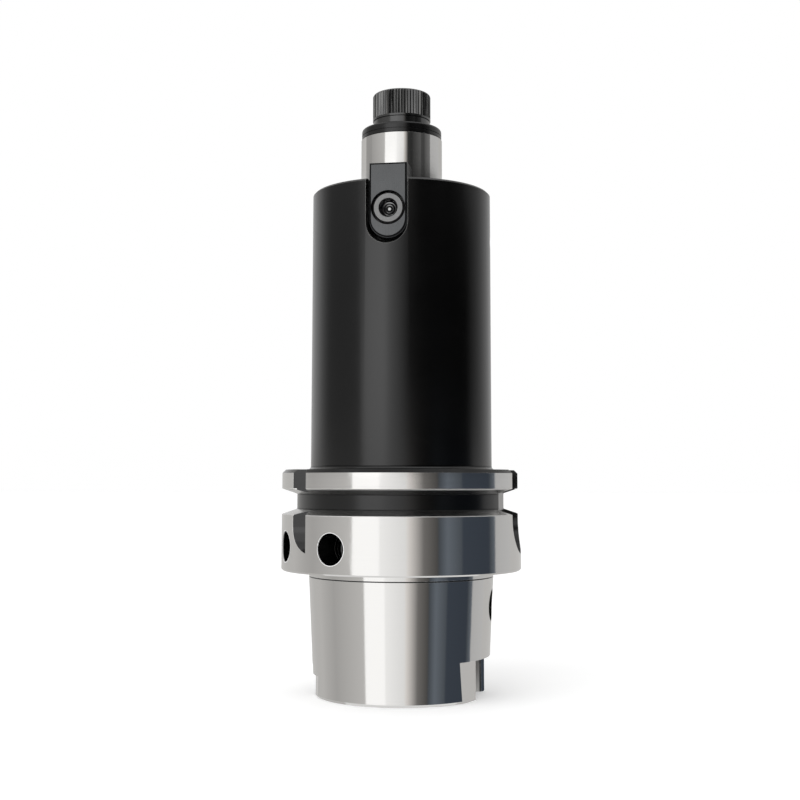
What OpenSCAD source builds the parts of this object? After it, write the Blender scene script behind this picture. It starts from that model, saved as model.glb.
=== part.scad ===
// Shell mill holder: hollow 1:10 taper shank with flange, long round body,
// pilot spigot for the cutter, two drive keys, a retaining screw and a
// coolant tube set. The origin is on the axis, in the plane of the shank's open
// end, on which the holder stands. The spigot points to +Z, and the drive keys
// lie at -Y and +Y. Heights are worked out from the flange's contact face, and
// each part is then lifted by the shank's length.

/* [Taper shank] */
// Length of the hollow shank below the flange face
shank_len = 32; // [31:0.1:36]
// Radius of the taper at its gauge line
taper_r = 24.005; // [23.8:0.005:24.3]
// Depth of the gauge line below the flange face
gauge_depth = 6.3; // [5:0.1:8]
// Radius lost per millimetre of depth
taper_slope = 0.05; // [0.04:0.005:0.06]
// Height of the plain band under the flange face
band_h = 1.5; // [1:0.1:2]
// Width and depth of the line turned below the band
band_groove = 0.3; // [0.2:0.05:0.5]
// Chamfer round the shank's open end
shank_chamfer = 0.7; // [0.3:0.1:1]

/* [Clamping cavity] */
// Radius of the mouth that the machine's clamp enters
mouth_r = 17; // [16:0.1:17.6]
// Length of the mouth's straight wall
mouth_len = 13; // [12:0.5:15]
// Radius of the clamping groove behind the mouth
clamp_groove_r = 19.4; // [18.6:0.1:19.8]
// Length of the clamping groove
clamp_groove_len = 7; // [6:0.5:8]
// Radius of the cavity above the groove
cavity_r = 17.2; // [16:0.1:18]
// Height of the cavity's floor above the flange face
cavity_floor = 4; // [2:0.5:6]

/* [Drive keyways and access holes] */
// Width of the two keyways in the shank's end
keyway_w = 12.54; // [11:0.01:13]
// Depth of the keyway on the +X side
keyway_depth_a = 10; // [9:0.1:11]
// Depth of the keyway on the -X side
keyway_depth_b = 8; // [7:0.1:9]
// Turn of the relief flats beside a keyway
relief_turn = 18.8; // [17:0.1:20]
// Distance of the deep relief flat, towards -Y on the +X side, from the axis
relief_deep = 21.4; // [21.2:0.1:22]
// Length of the two relief flats on the +X side
relief_deep_len = 10.2; // [9.6:0.1:11]
// Distance of the three other relief flats from the axis
relief_dist = 22.3; // [22:0.1:22.6]
// Length of the two relief flats on the -X side
relief_len = 5.6; // [5:0.1:7]
// Chamfer along the keyways' outer edges
keyway_edge = 0.6; // [0.3:0.1:1]
// Radius of the access hole for hand clamping
access_r = 4.1; // [3.5:0.1:4.5]
// Depth of the access hole below the flange face
access_depth = 8.8; // [8:0.1:9.4]

/* [Flange] */
// Radius of the flange
flange_r = 31.5; // [31:0.1:33]
// Height of the flange
flange_h = 26; // [25:0.5:28]
// Height of the gripper groove's middle
groove_mid = 17.8; // [17:0.1:19]
// Width of the gripper groove at the rim
groove_w = 6.6; // [6:0.1:8]
// Width of the gripper groove's floor
groove_floor_w = 3.8; // [3:0.1:4]
// Radius of the gripper groove's floor
groove_floor_r = 27.5; // [27:0.1:28.5]
// Chamfer at the flange's upper edge
flange_chamfer = 0.9; // [0.4:0.1:1.2]
// Chamfer at the flange's contact edge
flange_edge = 0.4; // [0.2:0.1:0.8]
// Width of the two gripper notches
notch_w = 18; // [16:0.5:20]
// Distance of a gripper notch's floor from the axis
notch_floor = 26.5; // [26:0.1:27]
// Height of the round lower end of a gripper notch
notch_end = 4.4; // [4:0.1:6]
// Distance from the axis of the index notch's wall that faces -X
index_wall_x = 20.2; // [19.6:0.1:20.6]
// Distance from the axis of the index notch's wall that faces -Y
index_wall_y = 19.7; // [19.6:0.1:20.6]
// Height where the index notch starts to run out
index_runout = 11.5; // [9:0.1:12.5]
// Radius of the index notch's round run-out
index_round = 6.8; // [4.6:0.1:7.6]
// Radius of the balance drillings in the flange
balance_r = 3.95; // [3:0.05:4.5]
// Depth of the balance drillings
balance_depth = 10; // [5:0.5:11]
// Height of the balance drillings
balance_z = 6.4; // [6:0.1:7.5]
// Turn of the first balance drilling from -Y
balance_turn_a = 24.3; // [20:0.1:27]
// Turn of the second balance drilling from -Y
balance_turn_b = 61.1; // [57:0.1:62]

/* [Body and spigot] */
// Radius of the body, which is the cutter's contact face
body_r = 24; // [23:0.1:25.5]
// Height of the cutter's contact face above the flange face
face_z = 100; // [80:1:160]
// Chamfer round the contact face
face_chamfer = 0.5; // [0.2:0.1:1]
// Fillet where the body meets the flange
root_fillet = 1; // [0.5:0.1:1.5]
// Radius of the pilot spigot
spigot_r = 11; // [10.8:0.01:11.2]
// Length of the spigot above the contact face
spigot_len = 18.4; // [17.4:0.1:22]
// Length of the spigot's blackened nose
nose_len = 3.1; // [2.4:0.1:3.4]
// Step from the ground spigot down to its nose
nose_step = 0.15; // [0.15:0.05:0.3]
// Radial width of the nose's rounded edge
nose_round = 0.8; // [0.4:0.1:1.2]
// Width and depth of the line turned into the nose
nose_line = 0.2; // [0.1:0.05:0.3]
// Height of that line above the nose's lower end
nose_line_rise = 1.1; // [0.8:0.1:1.4]
// Width of the undercut in the contact face at the spigot's foot
foot_relief = 0.5; // [0.3:0.1:0.8]
// Depth of that undercut in the spigot and in the contact face
foot_groove = 0.2; // [0.15:0.05:0.3]
// Height of the undercut in the spigot
foot_groove_h = 1; // [0.6:0.1:1.4]
// Radius of the cross drilling that feeds the coolant outlets
cross_r = 1.9; // [1.5:0.1:2.5]
// Turn of the cross drilling from -Y
cross_turn = 95.5; // [85:0.5:100]
// Distance of the cross drilling below the contact face
cross_drop = 12.8; // [11:0.1:14]
// Radius of the two coolant outlets in the contact face
outlet_r = 1.5; // [1:0.1:2]
// Distance of the outlets from the axis
outlet_dist = 16.5; // [14:0.5:17]
// Length of the grub screws that close the cross drilling
plug_len = 4; // [3:0.5:4]
// Depth of those grub screws below the body's side
plug_sink = 0.8; // [0.4:0.1:1.2]
// Size of their hexagon socket across its flats
plug_hex = 2; // [1.5:0.5:2.5]

/* [Drive keys] */
// Width of a drive key
key_w = 9.84; // [9:0.02:10.6]
// Length of a drive key
key_len = 19.6; // [18:0.1:24]
// Height of a drive key above the contact face
key_rise = 4.4; // [4:0.1:6]
// Distance of a key's outer face from the axis
key_face = 21.5; // [20.5:0.1:22.5]
// Distance of a key slot's floor from the axis
key_seat = 12.8; // [12.2:0.1:13.4]
// Edge chamfer of the keys and of their slots
key_chamfer = 0.5; // [0.2:0.05:0.6]
// Room below a key's round end
key_end_gap = 1.1; // [0.5:0.1:1.5]
// Distance of the key screw above the key's lower end
key_screw_rise = 7.85; // [7:0.05:9]

/* [Key screws] */
// Radius of a key screw's thread
key_screw_r = 2.5; // [2:0.25:3]
// Radius of a key screw's head
key_head_r = 4.05; // [3.4:0.05:4.1]
// Height of a key screw's head
key_head_h = 4; // [3:0.1:4.4]
// Length of a key screw below its head
key_screw_len = 10; // [8:0.5:10.5]
// Depth of the head below the key's face
key_head_sink = 0.3; // [0.1:0.1:0.8]
// Size of the hexagon socket across its flats
key_hex = 4; // [3:0.5:4.5]
// Gap between a screw head and its counterbore
head_gap = 0.4; // [0.3:0.05:0.5]

/* [Retaining screw] */
// Radius of the retaining screw's thread
screw_r = 5; // [4:0.5:5]
// Length of the retaining screw below its head
screw_len = 25; // [20:1:30]
// Depth of the thread bore in the spigot
thread_depth = 34; // [31:1:38]
// Outer radius of the knurled head
head_r = 7.9; // [7.5:0.05:8.1]
// Height of the head
head_h = 10; // [9:0.5:12]
// Height of the narrower collar under the head
head_collar = 2.3; // [1.5:0.1:3]
// Height of the plain rim below the knurl
head_rim = 0.65; // [0.4:0.05:1]
// Depth of the knurl
knurl_depth = 0.32; // [0.15:0.01:0.45]
// Number of knurl ridges
knurl_count = 60; // [40:2:72]
// Radius of the head's rounded top edge
head_round = 1; // [0.6:0.1:1.6]
// Size of the head's hexagon socket across its flats
head_hex = 8; // [6:1:8]
// Depth of the head's socket
head_hex_depth = 6; // [4:0.5:7]

/* [Coolant tube set] */
// Outer radius of the coolant tube
tube_r = 6; // [5.5:0.1:6.4]
// Radius of the tube's bore
tube_bore_r = 4; // [3:0.1:4.4]
// Length of the coolant tube with its collar
tube_len = 36; // [32:0.5:38]
// Length of the tube's collar
collar_len = 7.4; // [7:0.1:8.4]
// Radius of the thread bore that holds the set
gland_r = 9; // [8.9:0.1:9.6]
// Depth of that bore above the cavity floor
gland_depth = 15; // [14:0.5:18]
// Length of the threaded ring nut
nut_len = 6.6; // [6:0.1:7.4]
// Radius of the seal rings' section
seal_r = 0.9; // [0.8:0.05:1]
// Radius of the coolant channel through the body
channel_r = 2.5; // [2:0.1:2.7]

/* [Fits] */
// Radial gap between a thread and its bore
thread_gap = 0.05; // [0.02:0.01:0.08]
// Side gap between a key and its slot
key_gap = 0.08; // [0.01:0.01:0.1]
// Play that lets the coolant tube align itself
tube_play = 0.4; // [0.3:0.05:0.5]
// Gap between the collar and its stops
collar_gap = 0.3; // [0.2:0.05:0.4]

/* [Hidden] */
$fn = 96;
black_oxide = [0.09, 0.09, 0.1];
ground_steel = [0.72, 0.72, 0.71];
hardened_grey = [0.3, 0.31, 0.32];
seal_rubber = [0.05, 0.05, 0.05];
over = 1;
spigot_top = face_z + spigot_len;
nose_z = spigot_top - nose_len;
nose_r = spigot_r - nose_step;
clamp_top = -shank_len + mouth_len + clamp_groove_len;
shoulder_h = (clamp_groove_r - mouth_r) / tan(60);
key_low = face_z + key_rise - key_len;
key_slot_low = key_low - key_end_gap;
key_screw_z = key_low + key_screw_rise;
key_head_seat = key_face - key_head_sink - key_head_h;
key_tip = key_head_seat - key_screw_len;
key_half = key_w / 2;
slot_half = key_half + key_gap;
notch_half = notch_w / 2;
gland_top = cavity_floor + gland_depth;
tube_top = gland_top - collar_gap;
collar_low = tube_top - collar_len;
collar_r = gland_r - tube_play / 2;
nut_top = collar_low - collar_gap;
seal_mid_r = gland_r - thread_gap - seal_r;
seal_bed_r = seal_mid_r - seal_r;
seal_upper_z = tube_top - collar_len * 0.27;
seal_lower_z = collar_low + collar_len * 0.27;
seal_bed_h = 2 * seal_r + 0.2;
socket_lead = 0.7;
key_socket_lead = 0.4;
tip_chamfer = 0.8;
nut_slot_w = 3;
nut_slot_h = 2.4;
drill_point = 118;
cross_z = face_z - cross_drop;
head_edge = 0.3;
head_neck_r = head_r - 0.3;
collar_edge_r = head_neck_r - head_edge;
slot_edge_depth = 1.6;
slot_edge_w = 1.5 * key_chamfer * (slot_edge_depth + over) / slot_edge_depth;
slot_round_z = key_slot_low + slot_half;

// Radius of the taper at height z, which is negative below the flange.
function taper_at(z) = taper_r + (z + gauge_depth) * taper_slope;

// Points on an arc round (cx, cz), from angle a to angle b.
function arc(cx, cz, r, a, b, steps = 6) =
    [for (i = [0:steps]) [cx + r * cos(a + (b - a) * i / steps), cz + r * sin(a + (b - a) * i / steps)]];

// Half profile of the holder's outside, from the shank's end to the nose.
function outside() = concat(
    [[0, -shank_len],
    [taper_at(-shank_len) - shank_chamfer, -shank_len],
    [taper_at(shank_chamfer - shank_len), shank_chamfer - shank_len],
    [taper_at(-band_h - band_groove), -band_h - band_groove],
    [taper_at(-band_h) - band_groove, -band_h - band_groove],
    [taper_at(-band_h) - band_groove, -band_h],
    [taper_at(-band_h), -band_h],
    [taper_at(-band_h), 0],
    [flange_r - flange_edge, 0],
    [flange_r, flange_edge],
    [flange_r, groove_mid - groove_w / 2],
    [groove_floor_r, groove_mid - groove_floor_w / 2],
    [groove_floor_r, groove_mid + groove_floor_w / 2],
    [flange_r, groove_mid + groove_w / 2],
    [flange_r, flange_h - flange_chamfer],
    [flange_r - flange_chamfer, flange_h]],
    arc(body_r + root_fillet, flange_h + root_fillet, root_fillet, 270, 180),
    [[body_r, face_z - face_chamfer],
    [body_r - face_chamfer, face_z],
    [spigot_r + foot_relief, face_z],
    [spigot_r + foot_relief, face_z - foot_groove],
    [spigot_r - foot_groove, face_z - foot_groove],
    [spigot_r - foot_groove, face_z + foot_groove_h],
    [spigot_r, face_z + foot_groove_h],
    [spigot_r, nose_z],
    [nose_r - nose_line, nose_z],
    [nose_r - nose_line, nose_z + nose_line],
    [nose_r, nose_z + nose_line],
    [nose_r, nose_z + nose_line_rise],
    [nose_r - nose_line, nose_z + nose_line_rise],
    [nose_r - nose_line, nose_z + nose_line_rise + nose_line],
    [nose_r, nose_z + nose_line_rise + nose_line]],
    arc(nose_r - nose_round, spigot_top - nose_round, nose_round, 0, 90),
    [[0, spigot_top]]);

// Half profile of the clamping cavity and the coolant set's thread bore.
function cavity() = [
    [0, -shank_len - over],
    [mouth_r + shank_chamfer + over, -shank_len - over],
    [mouth_r, -shank_len + shank_chamfer],
    [mouth_r, -shank_len + mouth_len],
    [clamp_groove_r, -shank_len + mouth_len + shoulder_h],
    [clamp_groove_r, clamp_top - shoulder_h],
    [cavity_r, clamp_top],
    [cavity_r, cavity_floor - shank_chamfer],
    [cavity_r - shank_chamfer, cavity_floor],
    [gland_r, cavity_floor],
    [gland_r, gland_top],
    [0, gland_top]];

// Lifts a part from the flange's frame to the frame the holder stands in.
module lifted() {
    translate([0, 0, shank_len]) children();
}

// A slot with round ends that looks along -Y, from distance near to far.
module upright_slot(half, z_low, z_high, near, far) {
    translate([0, -near, 0]) rotate([90, 0, 0]) linear_extrude(far - near) {
        translate([0, z_low + half]) circle(half);
        translate([0, z_high - half]) circle(half);
        translate([-half, z_low + half]) square([2 * half, z_high - z_low - 2 * half]);
    }
}

// One key slot, with the chamfer that runs round its mouth in the body.
module key_slot() {
    upright_slot(slot_half, key_slot_low, face_z + 2 * slot_half, key_seat, body_r + over);
    translate([0, slot_edge_depth - body_r, slot_round_z]) rotate([90, 0, 0])
        cylinder(h = slot_edge_depth + over, r1 = slot_half, r2 = slot_half + slot_edge_w);
    translate([0, 0, slot_round_z]) linear_extrude(face_z) polygon([
        [-slot_half, slot_edge_depth - body_r], [slot_half, slot_edge_depth - body_r],
        [slot_half + slot_edge_w, -body_r - over], [-slot_half - slot_edge_w, -body_r - over]]);
}

// A keyway on the +X side of the shank's end, with a relief flat on each side
// of it: near is on the -Y side and far is on the +Y side.
module keyway(depth, near, far, relief) {
    half = keyway_w / 2;
    mouth = near / cos(relief_turn) - half * tan(relief_turn) - keyway_edge;
    translate([0, 0, -shank_len - over]) linear_extrude(depth + over) polygon([
        [0, -half], [mouth, -half], [mouth + body_r, -half - body_r],
        [mouth + body_r, half + body_r], [mouth, half], [0, half]]);
    for (flat = [[-relief_turn, near], [relief_turn, far]])
        rotate([0, 0, flat[0]]) translate([flat[1], -body_r, -shank_len - over])
            cube([body_r, 2 * body_r, relief + over]);
}

// The gripper notch on the +X side of the flange.
module gripper_notch() {
    rotate([0, 0, 90])
        upright_slot(notch_half, notch_end, flange_h + notch_w, notch_floor, flange_r + over);
}

// The square index notch between -X and -Y, with its round run-out below.
module index_notch() {
    reach = flange_r + over;
    translate([-reach, -reach, index_runout])
        cube([reach - index_wall_x, reach - index_wall_y, flange_h + over - index_runout]);
    translate([-index_wall_x, -index_wall_y - index_round, index_runout]) rotate([0, -90, 0])
        cylinder(h = reach - index_wall_x, r = index_round);
}

// A blind drilling whose mouth lies at the given radius, towards -Y.
module drilling(mouth, r, depth) {
    translate([0, -mouth - over, 0]) rotate([-90, 0, 0]) {
        cylinder(h = depth + over, r = r);
        translate([0, 0, depth + over]) cylinder(h = r / tan(drill_point / 2), r1 = r, r2 = 0);
    }
}

// The one-piece holder: shank, flange, body and spigot.
module holder_body() {
    color(black_oxide) lifted() difference() {
        rotate_extrude() polygon(outside());
        rotate_extrude() polygon(cavity());
        cylinder(h = spigot_top, r = channel_r);
        translate([0, 0, spigot_top - thread_depth])
            cylinder(h = thread_depth + over, r = screw_r + thread_gap);
        translate([0, 0, spigot_top - tip_chamfer])
            cylinder(h = 2 * tip_chamfer, r1 = screw_r, r2 = screw_r + 2 * tip_chamfer);
        for (turn = [0, 180]) rotate([0, 0, turn]) {
            key_slot();
            translate([0, -key_tip + over, key_screw_z]) rotate([90, 0, 0])
                cylinder(h = key_seat - key_tip + 2 * over, r = key_screw_r + thread_gap);
            gripper_notch();
            translate([0, 0, -access_depth]) rotate([0, 90, 0]) cylinder(h = body_r + over, r = access_r);
        }
        keyway(keyway_depth_a, relief_deep, relief_dist, relief_deep_len);
        rotate([0, 0, 180]) keyway(keyway_depth_b, relief_dist, relief_dist, relief_len);
        index_notch();
        for (turn = [balance_turn_a, balance_turn_b]) rotate([0, 0, -turn])
            translate([0, 0, balance_z]) drilling(flange_r, balance_r, balance_depth);
        rotate([0, 0, cross_turn]) translate([0, 0, cross_z]) {
            translate([0, -body_r - over, 0]) rotate([-90, 0, 0])
                cylinder(h = 2 * body_r + 2 * over, r = cross_r);
            for (side = [-1, 1]) translate([0, side * outlet_dist, 0]) cylinder(h = face_z, r = outlet_r);
        }
    }
}

// Outline of a key seen from outside: square top, round lower end.
module key_outline(inset) {
    half = key_half - inset;
    translate([0, key_low + key_half]) circle(half);
    translate([-half, key_low + key_half]) square([2 * half, key_len - key_half - inset]);
}

// One drive key with its counterbored screw hole, towards -Y.
module drive_key() {
    color(hardened_grey) lifted() difference() {
        union() {
            translate([0, -key_seat, 0]) rotate([90, 0, 0])
                linear_extrude(key_face - key_seat - key_chamfer) key_outline(0);
            translate([0, key_chamfer - key_face, 0]) rotate([90, 0, 0])
                linear_extrude(key_chamfer / 2) key_outline(key_chamfer / 3);
            translate([0, key_chamfer / 2 - key_face, 0]) rotate([90, 0, 0])
                linear_extrude(key_chamfer / 2) key_outline(key_chamfer);
        }
        translate([0, 0, key_screw_z]) rotate([90, 0, 0]) {
            cylinder(h = key_face + over, r = key_screw_r + thread_gap);
            translate([0, 0, key_head_seat]) cylinder(h = key_face, r = key_head_r + head_gap);
        }
    }
}

// One socket screw that holds a key, towards -Y.
module key_screw() {
    color(hardened_grey) lifted() translate([0, 0, key_screw_z]) rotate([90, 0, 0]) difference() {
        rotate_extrude() polygon([
            [0, key_tip], [key_screw_r - 0.4, key_tip], [key_screw_r, key_tip + 0.5],
            [key_screw_r, key_head_seat], [key_head_r, key_head_seat],
            [key_head_r, key_head_seat + key_head_h - 0.35],
            [key_head_r - 0.35, key_head_seat + key_head_h], [0, key_head_seat + key_head_h]]);
        translate([0, 0, key_head_seat + key_head_h * 0.45])
            cylinder(h = key_head_h, r = key_hex / sqrt(3), $fn = 6);
        translate([0, 0, key_head_seat + key_head_h - key_socket_lead])
            cylinder(h = 2 * key_socket_lead, r1 = key_hex / 2, r2 = key_hex / 2 + 2 * key_socket_lead);
    }
}

// Half profile of the retaining screw from its tip to its head's top.
function screw_profile() = concat(
    [[0, spigot_top - screw_len],
    [screw_r - tip_chamfer, spigot_top - screw_len],
    [screw_r, spigot_top - screw_len + tip_chamfer],
    [screw_r, spigot_top],
    [collar_edge_r, spigot_top],
    [head_neck_r, spigot_top + head_edge],
    [head_neck_r, spigot_top + head_collar],
    [head_r, spigot_top + head_collar + head_edge / 3],
    [head_r, spigot_top + head_h - head_round]],
    arc(head_r - head_round, spigot_top + head_h - head_round, head_round, 15, 90, 5),
    [[0, spigot_top + head_h]]);

// Star outline of the knurl, ridges and valleys in turn.
function knurl_outline() = [for (i = [0:2 * knurl_count - 1])
    let (r = i % 2 == 0 ? head_r - 0.02 : head_r - knurl_depth, turn = 180 * (i + 0.5) / knurl_count)
    [r * cos(turn), r * sin(turn)]];

// The retaining screw with its knurled head and hexagon socket.
module retaining_screw() {
    color(black_oxide) lifted() difference() {
        intersection() {
            rotate_extrude() polygon(screw_profile());
            union() {
                translate([0, 0, spigot_top]) linear_extrude(head_h + over) polygon(knurl_outline());
                translate([0, 0, spigot_top - screw_len - over])
                    cylinder(h = screw_len + over + head_collar + head_rim, r = head_r + knurl_depth);
            }
        }
        translate([0, 0, spigot_top + head_h - head_hex_depth])
            cylinder(h = head_hex_depth + over, r = head_hex / sqrt(3), $fn = 6);
        translate([0, 0, spigot_top + head_h - socket_lead])
            cylinder(h = 2 * socket_lead, r1 = head_hex / 2, r2 = head_hex / 2 + 2 * socket_lead);
    }
}

// The coolant tube, whose collar carries the two seal rings.
module coolant_tube() {
    tube_low = tube_top - tube_len;
    color(ground_steel) lifted() {
        rotate_extrude() polygon([
            [tube_bore_r, tube_low], [tube_r - tip_chamfer, tube_low], [tube_r, tube_low + 2 * tip_chamfer],
            [tube_r, collar_low], [collar_r, collar_low],
            [collar_r, seal_lower_z - seal_bed_h / 2], [seal_bed_r, seal_lower_z - seal_bed_h / 2],
            [seal_bed_r, seal_lower_z + seal_bed_h / 2], [collar_r, seal_lower_z + seal_bed_h / 2],
            [collar_r, seal_upper_z - seal_bed_h / 2], [seal_bed_r, seal_upper_z - seal_bed_h / 2],
            [seal_bed_r, seal_upper_z + seal_bed_h / 2], [collar_r, seal_upper_z + seal_bed_h / 2],
            [collar_r, tube_top], [tube_bore_r, tube_top]]);
    }
}

// The slotted ring nut that keeps the tube's collar in its bore.
module coolant_ring_nut() {
    nut_low = nut_top - nut_len;
    color(ground_steel) lifted() difference() {
        rotate_extrude() polygon([
            [tube_r + tube_play, nut_low], [gland_r - thread_gap - 0.4, nut_low],
            [gland_r - thread_gap, nut_low + 0.4], [gland_r - thread_gap, nut_top],
            [tube_r + tube_play, nut_top]]);
        for (turn = [0, 90]) rotate([0, 0, turn])
            translate([-gland_r, -nut_slot_w / 2, nut_low - over])
                cube([2 * gland_r, nut_slot_w, nut_slot_h + over]);
    }
}

// A round seal ring at height z on the tube's collar.
module seal_ring(z) {
    color(seal_rubber) lifted() translate([0, 0, z]) rotate_extrude()
        translate([seal_mid_r, 0]) circle(seal_r, $fn = 32);
}

// A grub screw that closes one end of the cross drilling, towards -Y.
module coolant_plug() {
    top = body_r - plug_sink;
    color(black_oxide) lifted() translate([0, 0, cross_z]) rotate([90, 0, 0]) difference() {
        translate([0, 0, top - plug_len]) cylinder(h = plug_len, r = cross_r - thread_gap);
        translate([0, 0, top - plug_len / 2]) cylinder(h = plug_len, r = plug_hex / sqrt(3), $fn = 6);
    }
}

holder_body();
drive_key();  // drive_key_front
rotate([0, 0, 180]) drive_key();  // drive_key_rear
key_screw();  // key_screw_front
rotate([0, 0, 180]) key_screw();  // key_screw_rear
retaining_screw();
coolant_tube();
coolant_ring_nut();
seal_ring(seal_upper_z);  // seal_ring_upper
seal_ring(seal_lower_z);  // seal_ring_lower
rotate([0, 0, cross_turn]) coolant_plug();  // coolant_plug_right
rotate([0, 0, cross_turn + 180]) coolant_plug();  // coolant_plug_left
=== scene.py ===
import math
from functools import cached_property

import bpy
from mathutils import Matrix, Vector


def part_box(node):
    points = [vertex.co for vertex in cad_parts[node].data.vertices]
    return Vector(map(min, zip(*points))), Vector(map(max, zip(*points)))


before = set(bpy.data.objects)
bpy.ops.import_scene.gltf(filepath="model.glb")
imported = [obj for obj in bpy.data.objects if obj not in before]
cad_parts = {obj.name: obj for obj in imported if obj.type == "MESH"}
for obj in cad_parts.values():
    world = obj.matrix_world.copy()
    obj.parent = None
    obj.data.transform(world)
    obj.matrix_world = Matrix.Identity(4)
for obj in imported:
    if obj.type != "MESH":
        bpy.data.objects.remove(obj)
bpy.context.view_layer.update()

MM = 0.001


def box(node):
    """A node's lowest and highest corner, in millimetres."""
    return [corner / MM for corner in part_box(node)]


def turned(radius, degrees, height):
    """A point round the holder's axis: 0 degrees is -Y, and 90 degrees is +X."""
    angle = math.radians(degrees)
    return Vector((radius * math.sin(angle), -radius * math.cos(angle), height)) * MM


# What all finishes share

# Every sharp edge looks eased by EDGE_EASE, and its colour is painted lighter over the width set below:
# partly wear, partly a painted highlight.
EDGE_EASE = 0.05
EDGE_EASE_SAMPLES = 6
EDGE_WEAR_AND_HIGHLIGHT_WIDTH = 0.09
EDGE_WEAR_AND_HIGHLIGHT_SAMPLES = 8
# How open the inside of the solid looks under a flat face, and at an edge that takes the full lighter
# edge colour.
FLAT_OPENNESS = 0.92
EDGE_OPENNESS = 0.62
GRAIN_HEIGHT = 0.02

# The stretches of a noise's values that a finish spreads from one look to another.
PATCHES = (0.35, 0.7)
MIDDLE = (0.3, 0.7)
WIDE_MIDDLE = (0.25, 0.75)

# A Mix node's two inputs and its result. They go by number, because the sockets for
# numbers have the same names as those for colours.
MIX_NUMBERS = (2, 3, 0)
MIX_COLOURS = (6, 7, 2)


class Finish:
    """A procedural material, with short names for the few node kinds that it is built from.
    Places and sizes are in millimetres. A noise's scale is in cells per metre."""

    def __init__(self, name):
        self.material = bpy.data.materials.new(name)
        self.material.use_nodes = True
        self.tree = self.material.node_tree
        self.tree.nodes.clear()
        self.shader = self.add("BsdfPrincipled")
        out = self.add("OutputMaterial")
        self.tree.links.new(self.shader.outputs["BSDF"], out.inputs["Surface"])
        self.point = self.add("TexCoord").outputs
        self.coords = self.point["Object"]

    @cached_property
    def place(self):
        """The point's x, y and z in millimetres."""
        return self.split(self.scaled((1 / MM, 1 / MM, 1 / MM)))

    @property
    def x(self):
        return self.place[0]

    @property
    def y(self):
        return self.place[1]

    @property
    def z(self):
        return self.place[2]

    @cached_property
    def radius(self):
        """How far the point is from the holder's axis."""
        return self.distance(self.x, self.y)

    @cached_property
    def facing_up(self):
        """0 on an upright wall, 1 on a flat top and -1 on a flat underside."""
        return self.split(self.point["Normal"])[2]

    def add(self, kind):
        return self.tree.nodes.new("ShaderNode" + kind)

    def put(self, socket, value):
        if isinstance(value, bpy.types.NodeSocket):
            self.tree.links.new(value, socket)
        else:
            socket.default_value = value

    def show(self, name, value):
        """Gives one of the shader's own sockets its value."""
        self.put(self.shader.inputs[name], value)

    def math(self, operation, first, second=0.0):
        node = self.add("Math")
        node.operation = operation
        self.put(node.inputs[0], first)
        self.put(node.inputs[1], second)
        return node.outputs[0]

    def plus(self, first, second):
        return self.math("ADD", first, second)

    def minus(self, first, second):
        return self.math("SUBTRACT", first, second)

    def times(self, first, second):
        return self.math("MULTIPLY", first, second)

    def absolute(self, value):
        return self.math("ABSOLUTE", value)

    def distance(self, first, second):
        squares = self.plus(self.times(first, first), self.times(second, second))
        return self.math("SQRT", squares)

    def wave(self, length, pitch):
        """A sine along a length, once every pitch."""
        return self.math("SINE", self.times(length, 2 * math.pi / pitch))

    def both(self, first, *others):
        """The area that all the given areas share."""
        for other in others:
            first = self.times(first, other)
        return first

    def either(self, first, *others):
        """The area that the given areas cover together."""
        for other in others:
            first = self.math("MAXIMUM", first, other)
        return first

    def all_but(self, area):
        return self.minus(1.0, area)

    def split(self, vector):
        node = self.add("SeparateXYZ")
        self.put(node.inputs[0], vector)
        return node.outputs

    def ramp(self, value, span, ends=(0.0, 1.0)):
        """Goes from one end to the other as the value goes through the span."""
        node = self.add("MapRange")
        node.clamp = True
        self.put(node.inputs["Value"], value)
        self.put(node.inputs["From Min"], span[0])
        self.put(node.inputs["From Max"], span[1])
        self.put(node.inputs["To Min"], ends[0])
        self.put(node.inputs["To Max"], ends[1])
        return node.outputs["Result"]

    def above(self, value, edge, soft=0.05):
        return self.ramp(value, (edge - soft, edge + soft))

    def below(self, value, edge, soft=0.05):
        return self.ramp(value, (edge + soft, edge - soft))

    def between(self, value, span, soft=0.05):
        return self.both(self.above(value, span[0], soft), self.below(value, span[1], soft))

    def scaled(self, factors):
        node = self.add("Mapping")
        self.put(node.inputs["Vector"], self.coords)
        self.put(node.inputs["Scale"], factors)
        return node.outputs[0]

    def noise(self, vector, scale, detail=2.0, roughness=0.5):
        node = self.add("TexNoise")
        self.put(node.inputs["Vector"], vector)
        self.put(node.inputs["Scale"], scale)
        self.put(node.inputs["Detail"], detail)
        self.put(node.inputs["Roughness"], roughness)
        return node.outputs["Fac"]

    def cloud(self, scale=180):
        """Slow, uneven patches, as a finish has from its bath."""
        return self.noise(self.coords, scale, detail=3.0, roughness=0.6)

    def mix(self, factor, first, second):
        """One colour going over into another."""
        node = self.add("Mix")
        node.data_type = "RGBA"
        return self.mixed(node, MIX_COLOURS, factor, first, second)

    def blend(self, factor, first, second):
        """One number going over into another."""
        return self.mixed(self.add("Mix"), MIX_NUMBERS, factor, first, second)

    def mixed(self, node, sockets, factor, first, second):
        first_socket, second_socket, result = sockets
        self.put(node.inputs["Factor"], factor)
        self.put(node.inputs[first_socket], first)
        self.put(node.inputs[second_socket], second)
        return node.outputs[result]

    def eased(self):
        """The surface's normal, with each sharp edge eased by a small radius."""
        node = self.add("Bevel")
        node.samples = EDGE_EASE_SAMPLES
        self.put(node.inputs["Radius"], EDGE_EASE * MM)
        return node.outputs[0]

    def outer_edges(self):
        """1 on outside edges, fading to 0 a little way in from them."""
        node = self.add("AmbientOcclusion")
        node.inside = True
        node.only_local = True
        node.samples = EDGE_WEAR_AND_HIGHLIGHT_SAMPLES
        self.put(node.inputs["Distance"], EDGE_WEAR_AND_HIGHLIGHT_WIDTH * MM)
        return self.ramp(node.outputs["AO"], (FLAT_OPENNESS, EDGE_OPENNESS))

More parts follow.
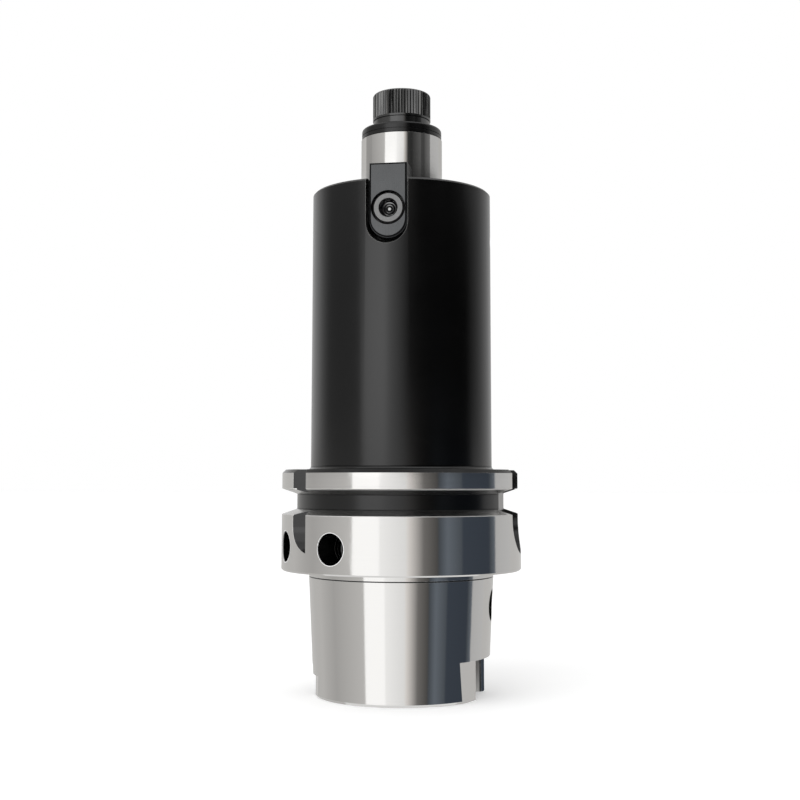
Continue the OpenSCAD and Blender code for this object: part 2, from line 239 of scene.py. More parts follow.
    def bump(self, height, distance, normal, strength=1.0):
        node = self.add("Bump")
        self.put(node.inputs["Strength"], strength)
        self.put(node.inputs["Distance"], distance * MM)
        self.put(node.inputs["Height"], height)
        self.put(node.inputs["Normal"], normal)
        return node.outputs[0]

    def grained(self, grain, normal, strength):
        """A normal with a fine grain on it."""
        return self.bump(grain, GRAIN_HEIGHT, normal, strength)


# The holder's body

# Heights count from the shank's end, and radii from its axis. A pair is where a
# feature starts and where it ends.
FLANGE_RADIUS = box("holder_body")[1].x
SHANK_INSIDE = 21.3
TAPER_TOP = 32.47
BAND_LINE = (30.2, 30.5)
KEYWAY_TOP = 10.25
KEYWAY_HALF_WIDTH = 6.37
KEYWAY_INSIDE = 15.1
RIM_INSIDE = FLANGE_RADIUS - 0.05
LOW_CHAMFER = (31.9, 33.0)
LOW_CHAMFER_INSIDE = 30.65
GROOVE = (46.4, 53.2)
GROOVE_FLOOR = 27.65
GROOVE_MOUTH = 31.35
LOWER_CORNER = (47.8, 48.0)
UPPER_CORNER = (51.6, 51.8)
CORNER_RADII = (27.0, 27.9)
LOWER_LIP = (46.36, 46.56)
LOWER_LIP_INSIDE = 31.325
UPPER_LIP = (52.3, 53.18)
UPPER_LIP_INSIDE = 30.725
LIP_FADE = (FLANGE_RADIUS - 0.04, FLANGE_RADIUS)
LIP_LEVELS = (1.0, 0.6)
TOP_CHAMFER = (56.9, 58.1)
TOP_CHAMFER_INSIDE = 30.3
FOOT_ROUND = (57.9, 58.5)
FOOT_ROUND_OUTSIDE = 28.75
FOOT_LINE = (58.6, 58.84)
CONTACT_FACE = 132.0
CONTACT_FACE_SPAN = (CONTACT_FACE - 0.02, CONTACT_FACE + 0.02)
CONTACT_FACE_RADII = (11.6, 23.4)
SPIGOT_GROUND = (CONTACT_FACE + 0.4, 147.3)
SPIGOT_WALL = (10.3, 11.5)
SCRIBED_DEPTH = 0.08
ALONG_AXIS = (0, 0, 1)

# How far a surface faces up, from 0 on an upright wall to 1 on a flat top.
FLANK_SLOPE = 0.55
CHAMFER_SLOPES = (0.55, 0.85)
FOOT_SLOPE = 0.95

# The two threaded drillings in the flange. Their depths count from the holder's axis.
HOLE_TURNS = (-24.3, -61.1)
HOLE_HEIGHT = 38.4
HOLE_RADIUS = 3.95
HOLE_LIP = (HOLE_RADIUS, HOLE_RADIUS + 0.13)
HOLE_WALL = (HOLE_RADIUS - 0.2, HOLE_RADIUS + 0.02)
HOLE_MOUTH = FLANGE_RADIUS - 0.25
HOLE_BOTTOM = 20.5
HOLE_THREAD_MOUTH = 24.5
HOLE_PITCH = 1.25
HOLE_CREST = (0.5, 0.9)

BLACK_OXIDE = (0.0006, 0.0006, 0.00065, 1)
BLACK_OXIDE_DUSTY = (0.0014, 0.0014, 0.00145, 1)
DUST = (0.35, 0.75)
CHAMFER_SHEEN = (0.028, 0.028, 0.028, 1)
# A more reflective colour on the foot round, as a painted sheen.
FOOT_PAINTED_SHEEN = (0.06, 0.06, 0.06, 1)
# The edge colours are lighter than their finishes: partly wear, partly a painted highlight.
BARE_EDGE_WEAR_AND_HIGHLIGHT = (0.42, 0.415, 0.40, 1)
MILLED_STEEL = (0.36, 0.355, 0.345, 1)
# Bright steel on the groove's flanks is a painted highlight.
FLANK_HIGHLIGHT_STEEL = (0.66, 0.655, 0.645, 1)
GROUND_STEEL = (0.665, 0.655, 0.64, 1)
GROUND_STEEL_DARK = (0.58, 0.575, 0.565, 1)
GROUND_RINGS = (0.2, 0.8)
# Painted highlight and wear on the edges of the ground areas.
GROUND_EDGE_WEAR_AND_HIGHLIGHT = (0.86, 0.85, 0.84, 1)
# Near white on the drillings' lips is a painted highlight.
HOLE_LIP_HIGHLIGHT = (0.95, 0.95, 0.95, 1)

# How rough each finish is. A pair is its smoothest and its roughest place.
BLACK_GLOSS = (0.20, 0.23)
GROUND_GLOSS = (0.07, 0.10)
MILLED_GLOSS = 0.42
FLANK_GLOSS = 0.26
LIP_GLOSS = 0.5

# How strongly edges take their lighter colour, which is partly wear and partly a painted highlight, how
# strongly thread crests show their steel, and how matt the lips are.
EDGE_COLOUR_WEAR_AND_HIGHLIGHT = 0.85
EDGE_METAL_WEAR = 0.9
CREST_WEAR = 0.4
LIP_MATT = 0.45


def lip_areas(finish):
    """The groove's two lips, which fade towards the rims."""
    upper = finish.above(finish.radius, UPPER_LIP_INSIDE, soft=0.025)
    upper = finish.both(upper, finish.between(finish.z, UPPER_LIP, soft=0.02))
    lower = finish.above(finish.radius, LOWER_LIP_INSIDE, soft=0.025)
    lower = finish.both(lower, finish.between(finish.z, LOWER_LIP, soft=0.02))
    fade = finish.ramp(finish.radius, LIP_FADE, LIP_LEVELS)
    return finish.both(finish.either(upper, lower), fade)


def ground_areas(finish, lips):
    """All that was ground: the taper, the flange's rims, the spigot and the contact face."""
    taper = finish.above(finish.radius, SHANK_INSIDE, soft=0.1)
    taper = finish.both(taper, finish.below(finish.z, TAPER_TOP, soft=0.03))
    taper = finish.both(taper, finish.all_but(finish.between(finish.z, BAND_LINE, soft=0.04)))
    rims = finish.above(finish.radius, RIM_INSIDE, soft=0.01)
    low_chamfer = finish.above(finish.radius, LOW_CHAMFER_INSIDE)
    low_chamfer = finish.both(low_chamfer, finish.between(finish.z, LOW_CHAMFER))
    spigot = finish.between(finish.z, SPIGOT_GROUND, soft=0.02)
    spigot = finish.both(spigot, finish.between(finish.radius, SPIGOT_WALL))
    face = finish.between(finish.z, CONTACT_FACE_SPAN, soft=0.01)
    face = finish.both(face, finish.between(finish.radius, CONTACT_FACE_RADII))
    return finish.either(taper, rims, lips, low_chamfer, spigot, face)


def keyway_areas(finish):
    """The milled walls of the two keyways in the shank's mouth."""
    width = finish.below(finish.absolute(finish.y), KEYWAY_HALF_WIDTH, soft=0.03)
    height = finish.below(finish.z, KEYWAY_TOP)
    outside = finish.above(finish.absolute(finish.x), KEYWAY_INSIDE, soft=0.1)
    return finish.both(width, height, outside)


def flank_areas(finish):
    """The groove's two sloping flanks, without the upright walls of the notches. They are painted as
    bright steel, a painted highlight.
    """
    inside = finish.above(finish.radius, GROOVE_FLOOR)
    inside = finish.both(inside, finish.below(finish.radius, GROOVE_MOUTH))
    sloping = finish.above(finish.absolute(finish.facing_up), FLANK_SLOPE)
    return finish.both(inside, finish.between(finish.z, GROOVE), sloping)


def top_chamfer_area(finish):
    """The chamfer on the flange's upper edge, which has a dull sheen."""
    slope = finish.between(finish.facing_up, CHAMFER_SLOPES, soft=0.02)
    area = finish.both(slope, finish.between(finish.z, TOP_CHAMFER))
    return finish.both(area, finish.above(finish.radius, TOP_CHAMFER_INSIDE, soft=0.1))


def foot_round_area(finish):
    """The round where the body meets the flange, given a more reflective colour than the black oxide as a
    painted sheen.
    """
    area = finish.between(finish.z, FOOT_ROUND, soft=0.08)
    area = finish.both(area, finish.below(finish.radius, FOOT_ROUND_OUTSIDE, soft=0.25))
    return finish.both(area, finish.below(finish.facing_up, FOOT_SLOPE, soft=0.02))


def hole_areas(finish):
    """The lips of the flange's two drillings, painted bright as a highlight, and the crests of their
    threads.
    """
    lips = []
    crests = []
    for turn in HOLE_TURNS:
        cosine = math.cos(math.radians(turn))
        sine = math.sin(math.radians(turn))
        across = finish.plus(finish.times(finish.x, cosine), finish.times(finish.y, sine))
        depth = finish.minus(finish.times(finish.x, sine), finish.times(finish.y, cosine))
        from_line = finish.distance(across, finish.minus(finish.z, HOLE_HEIGHT))
        in_hole = finish.above(depth, HOLE_BOTTOM, soft=0.5)
        lip_highlight = finish.between(from_line, HOLE_LIP, soft=0.02)
        lips.append(finish.both(lip_highlight, finish.above(finish.radius, HOLE_MOUTH), in_hole))
        wall = finish.both(finish.between(from_line, HOLE_WALL, soft=0.02), in_hole)
        crest = finish.both(wall, finish.ramp(finish.wave(depth, HOLE_PITCH), HOLE_CREST))
        crests.append(finish.both(crest, finish.below(depth, HOLE_THREAD_MOUTH, soft=0.1)))
    return finish.either(*lips), finish.times(finish.either(*crests), CREST_WEAR)


def scribed_lines(finish):
    """The fine lines round the body's foot and in the groove's two corners."""
    foot = finish.between(finish.z, FOOT_LINE, soft=0.06)
    lower = finish.between(finish.z, LOWER_CORNER, soft=0.04)
    upper = finish.between(finish.z, UPPER_CORNER, soft=0.04)
    corners = finish.both(finish.either(lower, upper), finish.between(finish.radius, CORNER_RADII))
    return finish.either(foot, corners)


def holder_finish():
    """Black oxide steel, ground bright on the taper, the flange rims, the spigot and the contact face."""
    finish = Finish("black_and_ground_steel")
    lips = lip_areas(finish)
    ground = ground_areas(finish, lips)
    keyways = keyway_areas(finish)
    flanks = flank_areas(finish)
    top_chamfer = top_chamfer_area(finish)
    foot_round = foot_round_area(finish)
    hole_lip_highlights, crests = hole_areas(finish)
    edges = finish.both(finish.outer_edges(), finish.below(finish.z, CONTACT_FACE))

    # Turning and grinding leave fine rings round the axis.
    height_only = finish.scaled(ALONG_AXIS)
    fine_rings = finish.noise(height_only, scale=7000, detail=3.0, roughness=0.7)
    broad_rings = finish.noise(height_only, scale=700, roughness=0.6)
    cloud = finish.cloud(scale=45)
    grain = finish.noise(finish.coords, scale=2600)

    black = finish.mix(finish.ramp(cloud, DUST), BLACK_OXIDE, BLACK_OXIDE_DUSTY)
    bright = finish.mix(finish.ramp(fine_rings, GROUND_RINGS), GROUND_STEEL_DARK, GROUND_STEEL)
    colour = finish.mix(ground, black, bright)
    colour = finish.mix(keyways, colour, MILLED_STEEL)
    # The flanks are painted as bright steel, a painted highlight.
    colour = finish.mix(flanks, colour, FLANK_HIGHLIGHT_STEEL)
    colour = finish.mix(lips, colour, GROUND_STEEL)
    colour = finish.mix(top_chamfer, colour, CHAMFER_SHEEN)
    # Painted sheen on the foot round.
    colour = finish.mix(foot_round, colour, FOOT_PAINTED_SHEEN)
    colour = finish.mix(crests, colour, MILLED_STEEL)
    # The drillings' lips get a painted highlight.
    colour = finish.mix(hole_lip_highlights, colour, HOLE_LIP_HIGHLIGHT)
    # Outside edges are painted lighter: partly wear, partly a painted highlight where they catch light.
    worn_and_highlighted = finish.mix(ground, BARE_EDGE_WEAR_AND_HIGHLIGHT, GROUND_EDGE_WEAR_AND_HIGHLIGHT)
    finish.show("Base Color", finish.mix(finish.times(edges, EDGE_COLOUR_WEAR_AND_HIGHLIGHT), colour, worn_and_highlighted))

    # The groove's lips are partly matt, so that they catch light from all sides. The drillings' lips are
    # fully matt and painted near white, a painted highlight.
    bare = finish.either(ground, keyways, flanks, crests, top_chamfer, foot_round)
    metal = finish.either(bare, finish.times(edges, EDGE_METAL_WEAR))
    matt = finish.either(hole_lip_highlights, finish.times(lips, LIP_MATT))
    finish.show("Metallic", finish.both(metal, finish.all_but(matt)))

    black_gloss = finish.ramp(cloud, MIDDLE, BLACK_GLOSS)
    ground_gloss = finish.ramp(broad_rings, MIDDLE, GROUND_GLOSS)
    gloss = finish.blend(ground, black_gloss, ground_gloss)
    gloss = finish.blend(keyways, gloss, MILLED_GLOSS)
    gloss = finish.blend(flanks, gloss, FLANK_GLOSS)
    finish.show("Roughness", finish.blend(finish.either(hole_lip_highlights, lips), gloss, LIP_GLOSS))

    uncut = finish.all_but(scribed_lines(finish))
    cut = finish.bump(uncut, SCRIBED_DEPTH, finish.eased())
    marks = finish.blend(ground, grain, fine_rings)
    finish.show("Normal", finish.grained(marks, cut, strength=0.12))
    return finish.material


# The drive keys and their screws

# How far the key's front parts lie from the holder's axis.
KEY_FACE = -box("drive_key_front")[0].y
KEY_FACE_EDGE = KEY_FACE - 0.075
KEY_LEDGE = (KEY_FACE - 0.53, KEY_FACE - 0.47)
KEY_CHAMFER_FOOT = KEY_FACE - 0.565
KEY_GREY = (0.073, 0.075, 0.077, 1)
KEY_GREY_LIGHT = (0.080, 0.082, 0.084, 1)
KEY_BLACK = (0.005, 0.005, 0.0052, 1)
KEY_SIDES = (0.009, 0.009, 0.0095, 1)
KEY_LEDGE_GREY = 0.5
KEY_GLOSS = (0.25, 0.29)
KEY_GRAIN_STRETCH = (1, 1, 0.12)

# Radii from the screw's own axis, and the shape of its socket's floor.
SCREW_HEIGHT = sum(corner.z for corner in box("key_screw_front")) / 2
HEAD_LIP = (3.84, 4.1)
SOCKET_RADIUS = 2.465
SOCKET_FLAT = 0.42
SOCKET_GLINT = 0.345
SOCKET_CONE_SLOPE = 0.8
SOCKET_RING_PITCH = 0.66
SOCKET_RING_HEIGHT = 0.045
SATIN = (0.14, 0.14, 0.14, 1)
SATIN_LIGHT = (0.175, 0.175, 0.173, 1)
# A painted highlight on the head's edge.
HEAD_EDGE_HIGHLIGHT = (0.85, 0.85, 0.84, 1)
SOCKET_STEEL = (0.2, 0.2, 0.2, 1)
# A lighter steel at the socket's middle, as a painted glint.
SOCKET_PAINTED_GLINT = (0.26, 0.26, 0.255, 1)
HEAD_GLOSS = 0.3
SOCKET_GLOSS = 0.16


def key_finish():
    """A drive key: its outer face is ground grey, and its chamfers and sides stay black."""
    finish = Finish("key_steel")
    out = finish.absolute(finish.y)
    face = finish.above(out, KEY_FACE_EDGE, soft=0.025)
    ledge = finish.between(out, KEY_LEDGE, soft=0.01)
    ground = finish.either(face, finish.times(ledge, KEY_LEDGE_GREY))
    chamfers = finish.above(out, KEY_CHAMFER_FOOT, soft=0.015)
    grain = finish.noise(finish.scaled(KEY_GRAIN_STRETCH), scale=2600)
    grey = finish.mix(finish.ramp(finish.cloud(), PATCHES), KEY_GREY, KEY_GREY_LIGHT)
    black = finish.mix(chamfers, KEY_SIDES, KEY_BLACK)
    finish.show("Base Color", finish.mix(ground, black, grey))
    finish.show("Metallic", chamfers)
    finish.show("Roughness", finish.ramp(grain, WIDE_MIDDLE, KEY_GLOSS))
    finish.show("Normal", finish.grained(grain, finish.eased(), strength=0.015))
    return finish.material


def key_screw_finish():
    """A key screw: a satin head with a painted highlight on its edge, and a dark socket with a turned
    floor and a painted glint in its middle.
    """
    finish = Finish("key_screw_steel")
    off_axis = finish.distance(finish.x, finish.minus(finish.z, SCREW_HEIGHT))
    socket = finish.below(off_axis, SOCKET_RADIUS, soft=0.025)
    lip_highlight = finish.between(off_axis, HEAD_LIP, soft=0.02)
    painted_glint = finish.below(off_axis, SOCKET_GLINT, soft=0.125)
    grain = finish.noise(finish.coords, scale=2600)
    satin = finish.mix(finish.ramp(grain, MIDDLE), SATIN, SATIN_LIGHT)
    # The head's edge ring is a painted highlight.
    satin = finish.mix(lip_highlight, satin, HEAD_EDGE_HIGHLIGHT)
    # The socket's middle is painted lighter, a painted glint.
    dark = finish.mix(painted_glint, SOCKET_STEEL, SOCKET_PAINTED_GLINT)
    finish.show("Base Color", finish.mix(socket, satin, dark))
    finish.show("Metallic", 1.0)
    finish.show("Roughness", finish.blend(socket, HEAD_GLOSS, SOCKET_GLOSS))

    # The socket's floor is the cone that its drill left, with a few turned rings.
    out = finish.math("MAXIMUM", off_axis, SOCKET_FLAT)
    rings = finish.times(finish.wave(out, SOCKET_RING_PITCH), SOCKET_RING_HEIGHT)
    cone = finish.plus(finish.times(out, SOCKET_CONE_SLOPE), rings)
    head = finish.grained(grain, finish.eased(), strength=0.06)
    finish.show("Normal", finish.bump(finish.times(cone, socket), distance=1.0, normal=head))
    return finish.material


# The retaining screw

KNURL_FOOT = 153.4
KNURL_RUBBED = 7.75
THREAD_WALL = (4.6, 5.2)
THREAD_TOP = 146.75
THREAD_PITCH = 1.5
THREAD_HEIGHT = 0.3
SCREW_BLACK = (0.0012, 0.0012, 0.0012, 1)
SCREW_BLACK_LIGHT = (0.0026, 0.0026, 0.0026, 1)
SCREW_IOR = 1.8
SCREW_GLOSS = (0.12, 0.16)
# Bright steel streaks on the knurl's ridges: partly wear, partly a painted highlight.
KNURL_WEAR_AND_HIGHLIGHT = (0.29, 0.29, 0.285, 1)
KNURL_STREAKS = (0.45, 0.62)
KNURL_STREAK_STRETCH = (1, 1, 0.04)


def retaining_screw_finish():
    """A black screw whose knurled ridges carry uneven streaks of bright steel, partly wear and partly a
    painted highlight, with a cut thread on its shank.
    """
    finish = Finish("screw_black")
    finish.show("IOR", SCREW_IOR)
    ridges = finish.above(finish.radius, KNURL_RUBBED, soft=0.09)
    ridges = finish.both(ridges, finish.above(finish.z, KNURL_FOOT))
    streaks = finish.noise(finish.scaled(KNURL_STREAK_STRETCH), scale=1300, detail=1.0)
    rubbed_and_highlighted = finish.both(ridges, finish.ramp(streaks, KNURL_STREAKS))
    cloud = finish.cloud()
    black = finish.mix(finish.ramp(cloud, PATCHES), SCREW_BLACK, SCREW_BLACK_LIGHT)
    # The streaked ridges are partly wear and partly a painted highlight.
    finish.show("Base Color", finish.mix(rubbed_and_highlighted, black, KNURL_WEAR_AND_HIGHLIGHT))
    finish.show("Metallic", rubbed_and_highlighted)
    finish.show("Roughness", finish.ramp(cloud, MIDDLE, SCREW_GLOSS))

    turn = finish.math("ARCTAN2", finish.y, finish.x)
    climb = finish.times(finish.z, 2 * math.pi / THREAD_PITCH)
    shank = finish.between(finish.radius, THREAD_WALL)
    shank = finish.both(shank, finish.below(finish.z, THREAD_TOP, soft=0.25))
    thread = finish.both(finish.math("SINE", finish.plus(turn, climb)), shank)
    finish.show("Normal", finish.bump(thread, THREAD_HEIGHT, finish.eased()))
    return finish.material


# The plugs, the tube with its nut, and the seal rings

PLUG_BLACK = (0.002, 0.002, 0.002, 1)
PLUG_BLACK_LIGHT = (0.004, 0.004, 0.004, 1)
# The plugs' lighter edge colour is partly wear, partly a painted highlight.
PLUG_EDGE_WEAR_AND_HIGHLIGHT = (0.34, 0.34, 0.33, 1)
PLUG_GLOSS = (0.13, 0.18)
TUBE_STEEL = (0.50, 0.50, 0.49, 1)
TUBE_STEEL_LIGHT = (0.64, 0.64, 0.63, 1)
# The tube's lighter edge colour is partly wear, partly a painted highlight.
TUBE_EDGE_WEAR_AND_HIGHLIGHT = (0.75, 0.75, 0.74, 1)
TUBE_GLOSS = (0.20, 0.28)
STEEL_EDGE_WEAR_AND_HIGHLIGHT = 0.8
RUBBER = (0.012, 0.012, 0.012, 1)
RUBBER_LIGHT = (0.025, 0.025, 0.025, 1)
RUBBER_GLOSS = (0.5, 0.62)


def steel_finish(name, colours, gloss, metallic, grain_strength):
    """A plain steel finish with a fine grain, slightly uneven colour and edges painted lighter, partly as
    wear and partly as a painted highlight.
    Its colours are the dark one, the light one and that of its edges."""
    dark, light, edge = colours
    finish = Finish(name)
    grain = finish.noise(finish.coords, scale=2200)
    # Outside edges are painted lighter, partly as wear and partly as a painted highlight.
    edges = finish.times(finish.outer_edges(), STEEL_EDGE_WEAR_AND_HIGHLIGHT)
    colour = finish.mix(finish.ramp(finish.cloud(), PATCHES), dark, light)
    finish.show("Base Color", finish.mix(edges, colour, edge))
    finish.show("Roughness", finish.ramp(grain, WIDE_MIDDLE, gloss))
    finish.show("Metallic", finish.either(edges, metallic))
    finish.show("Normal", finish.grained(grain, finish.eased(), grain_strength))
    return finish.material


def plug_finish():
    colours = (PLUG_BLACK, PLUG_BLACK_LIGHT, PLUG_EDGE_WEAR_AND_HIGHLIGHT)
    return steel_finish("plug_black", colours, PLUG_GLOSS, metallic=0.0, grain_strength=0.02)


def tube_finish():
    colours = (TUBE_STEEL, TUBE_STEEL_LIGHT, TUBE_EDGE_WEAR_AND_HIGHLIGHT)
    return steel_finish("tube_steel", colours, TUBE_GLOSS, metallic=1.0, grain_strength=0.12)


def rubber_finish():
    finish = Finish("seal_rubber")
    speckle = finish.noise(finish.coords, scale=3000)
    finish.show("Base Color", finish.mix(speckle, RUBBER, RUBBER_LIGHT))
    finish.show("Roughness", finish.ramp(speckle, MIDDLE, RUBBER_GLOSS))
    return finish.material


def dress(names, material):
    for name in names:
        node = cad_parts[name]
        node.data.materials.clear()
        node.data.materials.append(material)


dress(["holder_body"], holder_finish())
dress(["drive_key_front", "drive_key_rear"], key_finish())
dress(["key_screw_front", "key_screw_rear"], key_screw_finish())
dress(["retaining_screw"], retaining_screw_finish())
dress(["coolant_plug_right", "coolant_plug_left"], plug_finish())
dress(["coolant_tube", "coolant_ring_nut"], tube_finish())
dress(["seal_ring_upper", "seal_ring_lower"], rubber_finish())


# The photograph's camera, worked out from the flange, body and spigot edges

CAMERA_TURN = 9.4
CAMERA_DISTANCE = 346.1
CAMERA_HEIGHT = 55.06
CAMERA_PITCH = 6.58
CAMERA_ROLL = 0.07
CAMERA_LENS = 58.2
CAMERA_SENSOR = 36
CAMERA_SHIFT = (-0.0016, -0.0852)
CAMERA_NEAR = 10


def photo_camera():
    data = bpy.data.cameras.new("photo_camera")
    data.lens = CAMERA_LENS
    data.sensor_width = CAMERA_SENSOR
    data.shift_x, data.shift_y = CAMERA_SHIFT
    data.clip_start = CAMERA_NEAR * MM
    camera = bpy.data.objects.new("photo_camera", data)
    bpy.context.scene.collection.objects.link(camera)
    camera.location = turned(CAMERA_DISTANCE, CAMERA_TURN, CAMERA_HEIGHT)
    angles = (90 + CAMERA_PITCH, -CAMERA_ROLL, CAMERA_TURN)
    camera.rotation_euler = [math.radians(angle) for angle in angles]
    bpy.context.scene.camera = camera


# The studio's cards, which the steel reflects

# The cards stand in a ring, with a strip in their mesh about every CARD_STEP degrees.
# The bright steel reflects the cards below and above the body's cards, and the black
# body, which the photograph shows under a narrower light, reflects its own.
CARD_RADIUS = 800
CARD_STEP = 4
STRAIGHT_BEHIND = -180
LOW_CARDS = (-900, 74)
BODY_CARDS = (74, 326)
HIGH_CARDS = (326, 1300)
PLAIN = (1, 1, 1)
WARM = (1.012, 1.0, 0.98)
BROWN = (1.04, 1.0, 0.965)
COOL = (0.86, 0.99, 1.16)
NAVY = (0.80, 0.98, 1.28)


def card_glow():
    """A glow that runs from one grey to another across each card."""
    material = bpy.data.materials.new("card_glow")
    material.use_nodes = True
    tree = material.node_tree
    tree.nodes.clear()
    out = tree.nodes.new("ShaderNodeOutputMaterial")
    glow = tree.nodes.new("ShaderNodeEmission")
    grey = tree.nodes.new("ShaderNodeAttribute")
    grey.attribute_name = "card_grey"
    tree.links.new(grey.outputs["Color"], glow.inputs["Color"])
    tree.links.new(glow.outputs[0], out.inputs["Surface"])
    return material


def studio_card(name, glow, heights, turns, levels, tint):
    """A curved card round the holder that only reflections show.
    Its turns are where it starts and ends, in degrees to the right of the camera."""
    start, end = turns
    low, high = heights
    strips = round((end - start) / CARD_STEP)
    bpy.ops.object.select_all(action="DESELECT")
    bpy.ops.mesh.primitive_grid_add(x_subdivisions=strips, y_subdivisions=1, size=1)
    card = bpy.context.active_object
    card.name = name
    greys = card.data.color_attributes.new("card_grey", "FLOAT_COLOR", "POINT")
    # The grid runs from -0.5 to 0.5 each way.
    for vertex in card.data.vertices:
        across = vertex.co.x + 0.5
        up = vertex.co.y + 0.5
        level = levels[0] + (levels[1] - levels[0]) * across
        greys.data[vertex.index].color = [level * part for part in tint] + [1]
        turn = CAMERA_TURN + start + (end - start) * across
        vertex.co = turned(CARD_RADIUS, turn, low + (high - low) * up)
    card.data.materials.append(glow)
    card.visible_camera = False
    card.visible_diffuse = False
    card.visible_shadow = False


def card_ring(part, glow, heights, cards):
    """Cards side by side from straight behind the holder round to there again. A card
    has its name, where it ends, its grey at its start and at its end, and its tint."""
    start = STRAIGHT_BEHIND
    for name, end, level_start, level_end, tint in cards:
        levels = (level_start, level_end)
        studio_card(f"{name}_{part}", glow, heights, (start, end), levels, tint)
        start = end


def studio_cards():
    glow = card_glow()
    card_ring("low", glow, LOW_CARDS, [
        ("pale_back_left", -118, 0.60, 0.67, WARM),
        ("grey_far_left", -92, 0.66, 0.54, WARM),
        ("grey_left", -46, 0.53, 0.72, WARM),
        ("key_strip", -20, 1.5, 1.5, PLAIN),
        ("front_fill", 5, 1.3, 1.08, PLAIN),
        ("fill_edge", 20, 1.04, 0.24, BROWN),
        ("fill_tail", 34, 0.22, 0.09, BROWN),
        ("streak_rise", 43, 0.09, 0.2, COOL),
        ("streak_right", 58, 0.2, 0.11, COOL),
        ("navy_right", 90, 0.075, 0.066, NAVY),
        ("navy_edge", 98, 0.09, 0.2, COOL),
        ("pale_right", 124, 0.64, 0.68, PLAIN),
        ("pale_back_right", 180, 0.68, 0.60, WARM),
    ])
    card_ring("high", glow, HIGH_CARDS, [
        ("pale_back_left", -121, 0.5, 0.74, WARM),
        ("grey_far_left", -94, 0.44, 0.44, WARM),
        ("grey_left", -48, 0.5, 0.72, WARM),
        ("key_strip", -14, 1.5, 1.5, PLAIN),
        ("front_fill", 6, 1.4, 1.2, PLAIN),
        ("fill_edge", 17, 1.05, 0.07, BROWN),
        ("dark_right", 30, 0.05, 0.035, PLAIN),
        ("streak_rise", 56, 0.05, 0.15, PLAIN),
        ("dim_right", 68, 0.085, 0.08, PLAIN),
        ("pale_rise", 88, 0.12, 0.26, PLAIN),
        ("pale_right", 130, 0.66, 0.66, PLAIN),
        ("pale_back_right", 180, 0.64, 0.5, WARM),
    ])
    card_ring("body", glow, BODY_CARDS, [
        ("pale_back_left", -128, 0.8, 0.8, PLAIN),
        ("dim_far_left", -104, 0.78, 0.3, PLAIN),
        ("dim_left", -50, 0.28, 0.4, PLAIN),
        ("key_strip", -18, 1.9, 2.3, PLAIN),
        ("key_fade", 9, 1.6, 0.08, PLAIN),
        ("dark_right", 92, 0.03, 0.012, PLAIN),
        ("pale_right", 128, 0.06, 0.6, PLAIN),
        ("pale_back_right", 180, 0.6, 0.8, PLAIN),
    ])


# The studio's floor, backdrop and lamp

FLOOR_SIZE = 12000
FLOOR_GREY = (0.93, 0.93, 0.93, 1)
FLOOR_ROUGHNESS = 0.9
FLOOR_LIFT = 0.20
WHITE = (1, 1, 1, 1)
LIGHT_LEVEL = 0.85
BACKDROP_LEVEL = 1.0
LAMP_AIM_HEIGHT = 80


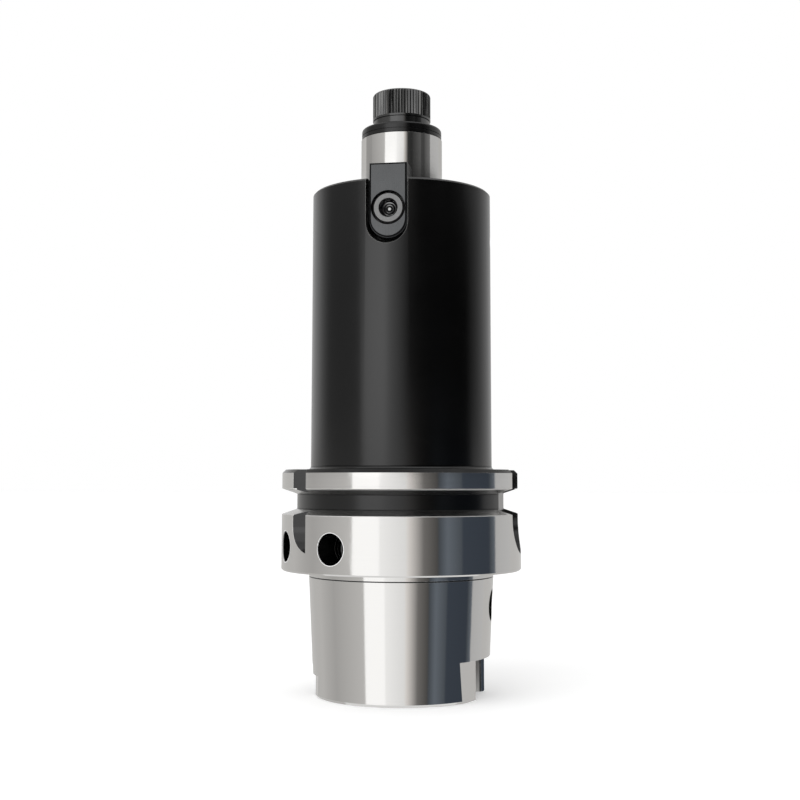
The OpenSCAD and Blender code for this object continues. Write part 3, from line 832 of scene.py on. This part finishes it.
def studio_floor():
    bpy.ops.object.select_all(action="DESELECT")
    bpy.ops.mesh.primitive_plane_add(size=FLOOR_SIZE * MM, location=(0, 0, 0))
    floor = bpy.context.active_object
    floor.name = "studio_floor"
    material = bpy.data.materials.new("studio_floor")
    material.use_nodes = True
    tree = material.node_tree
    shader = tree.nodes["Principled BSDF"]
    shader.inputs["Base Color"].default_value = FLOOR_GREY
    shader.inputs["Roughness"].default_value = FLOOR_ROUGHNESS
    # The camera sees the floor as white as the backdrop, with the shadow kept.
    shader.inputs["Emission Color"].default_value = WHITE
    path = tree.nodes.new("ShaderNodeLightPath")
    lift = tree.nodes.new("ShaderNodeMath")
    lift.operation = "MULTIPLY"
    lift.inputs[1].default_value = FLOOR_LIFT
    tree.links.new(path.outputs["Is Camera Ray"], lift.inputs[0])
    tree.links.new(lift.outputs[0], shader.inputs["Emission Strength"])
    # From below, the floor doesn't hide the holder's underside.
    side = tree.nodes.new("ShaderNodeNewGeometry")
    clear = tree.nodes.new("ShaderNodeBsdfTransparent")
    choice = tree.nodes.new("ShaderNodeMixShader")
    tree.links.new(side.outputs["Backfacing"], choice.inputs[0])
    tree.links.new(shader.outputs[0], choice.inputs[1])
    tree.links.new(clear.outputs[0], choice.inputs[2])
    tree.links.new(choice.outputs[0], tree.nodes["Material Output"].inputs["Surface"])
    floor.data.materials.append(material)
    floor.visible_glossy = False


def studio_world():
    """White to the camera and to reflections, and a little dimmer as light."""
    world = bpy.data.worlds.new("studio")
    bpy.context.scene.world = world
    world.use_nodes = True
    tree = world.node_tree
    background = tree.nodes["Background"]
    background.inputs["Color"].default_value = WHITE
    path = tree.nodes.new("ShaderNodeLightPath")
    seen = tree.nodes.new("ShaderNodeMath")
    seen.operation = "MAXIMUM"
    seen_through = tree.nodes.new("ShaderNodeMath")
    seen_through.operation = "MAXIMUM"
    level = tree.nodes.new("ShaderNodeMapRange")
    level.inputs["To Min"].default_value = LIGHT_LEVEL
    level.inputs["To Max"].default_value = BACKDROP_LEVEL
    tree.links.new(path.outputs["Is Camera Ray"], seen.inputs[0])
    tree.links.new(path.outputs["Is Glossy Ray"], seen.inputs[1])
    tree.links.new(seen.outputs[0], seen_through.inputs[0])
    tree.links.new(path.outputs["Is Transmission Ray"], seen_through.inputs[1])
    tree.links.new(seen_through.outputs[0], level.inputs["Value"])
    tree.links.new(level.outputs["Result"], background.inputs["Strength"])


def soft_lamp(name, turn, distance, height, size, power):
    """A round lamp, turned from the camera, that aims at the holder's middle."""
    data = bpy.data.lights.new(name, "AREA")
    data.shape = "DISK"
    data.size = size * MM
    data.energy = power
    lamp = bpy.data.objects.new(name, data)
    bpy.context.scene.collection.objects.link(lamp)
    lamp.location = turned(distance, CAMERA_TURN + turn, height)
    aim = turned(0, 0, LAMP_AIM_HEIGHT) - lamp.location
    lamp.rotation_euler = aim.to_track_quat("-Z", "Y").to_euler()
    lamp.visible_glossy = False


studio_cards()
studio_floor()
studio_world()
soft_lamp("lamp_front_left", turn=-35, distance=900, height=700, size=1400, power=6)
photo_camera()
bpy.context.scene.view_settings.view_transform = "Standard"

bpy.context.view_layer.update()
